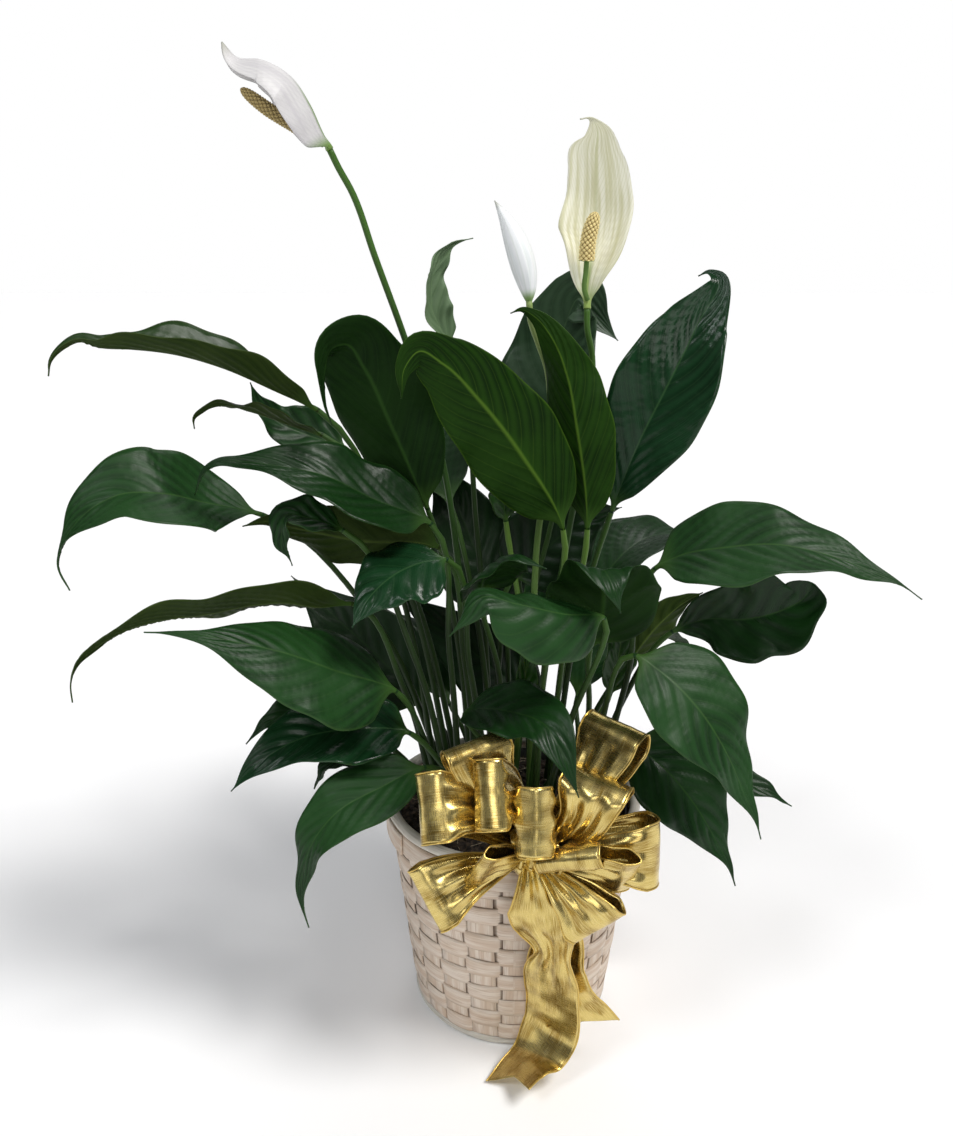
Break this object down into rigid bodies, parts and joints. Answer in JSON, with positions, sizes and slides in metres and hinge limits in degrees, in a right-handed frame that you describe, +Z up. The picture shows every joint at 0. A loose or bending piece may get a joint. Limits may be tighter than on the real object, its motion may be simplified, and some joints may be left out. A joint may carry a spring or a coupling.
{
  "type": "potted peace lily",
  "caption": "Peace lily with arching glossy leaves and white spathes, growing in soil in a lined woven chip basket dressed with a metallic ribbon bow.",
  "frame": {"origin": "centre of the basket's flat underside, on the surface it stands on", "axes": "+Z up along the basket's axis, -Y towards the bow at the front, +X to the right as seen from the front"},
  "size_m": [0.4741, 0.3602, 0.5893],
  "materials": {
    "leaf_green": "smooth living leaf with a soft waxy gloss",
    "flower_stem": "smooth green plant stem",
    "spathe_white": "thin satin petal-like bract",
    "spadix_cream": "knobbly matt flower spike",
    "whitewashed_chip": "whitewashed split wood chip, matt",
    "pale_reed": "whitewashed round reed, matt",
    "liner_plastic": "thin dark film-like plastic",
    "potting_soil": "rough crumbly peat",
    "gold_ribbon": "metallic lame ribbon with wired edges",
    "green_wire": "green coated florist wire"
  },
  "bodies": {
    "root": {"basket_base": "whitewashed_chip", "basket_foot_hoop": "pale_reed", "basket_rim_band": "whitewashed_chip", "basket_rim_reed": "pale_reed", "basket_woven_wall": "whitewashed_chip", "bloom_left_spadix": "spadix_cream", "bloom_left_spathe": "spathe_white", "bloom_left_stem": "flower_stem", "bloom_middle_spathe": "spathe_white", "bloom_middle_stem": "flower_stem", "bloom_right_spadix": "spadix_cream", "bloom_right_spathe": "spathe_white", "bloom_right_stem": "flower_stem", "bow_pick": "green_wire", "bow_ribbon": "gold_ribbon", "leaf_back_arched": "leaf_green", "leaf_back_folded": "leaf_green", "leaf_back_slim": "leaf_green", "leaf_centre_arched": "leaf_green", "leaf_centre_erect": "leaf_green", "leaf_front_behind": "leaf_green", "leaf_front_folded": "leaf_green", "leaf_front_shiny": "leaf_green", "leaf_inner_left": "leaf_green", "leaf_inner_low": "leaf_green", "leaf_inner_right": "leaf_green", "leaf_inner_rolled": "leaf_green", "leaf_inner_tall": "leaf_green", "leaf_inner_young": "leaf_green", "leaf_left_behind": "leaf_green", "leaf_left_broad": "leaf_green", "leaf_left_dark": "leaf_green", "leaf_left_hanging": "leaf_green", "leaf_left_keeled": "leaf_green", "leaf_left_large": "leaf_green", "leaf_left_long": "leaf_green", "leaf_left_lowest": "leaf_green", "leaf_left_peeking": "leaf_green", "leaf_left_shaded": "leaf_green", "leaf_left_small": "leaf_green", "leaf_left_thin": "leaf_green", "leaf_left_under": "leaf_green", "leaf_over_bow": "leaf_green", "leaf_rear_left": "leaf_green", "leaf_rear_left_low": "leaf_green", "leaf_rear_low": "leaf_green", "leaf_rear_middle": "leaf_green", "leaf_rear_right": "leaf_green", "leaf_rear_right_low": "leaf_green", "leaf_right_arched": "leaf_green", "leaf_right_drooping": "leaf_green", "leaf_right_inner": "leaf_green", "leaf_right_long": "leaf_green", "leaf_right_low": "leaf_green", "leaf_right_olive": "leaf_green", "leaf_right_peeking": "leaf_green", "leaf_right_upright": "leaf_green", "leaf_right_wavy": "leaf_green", "plastic_liner": "liner_plastic", "potting_soil": "potting_soil"}
  },
  "joints": []
}
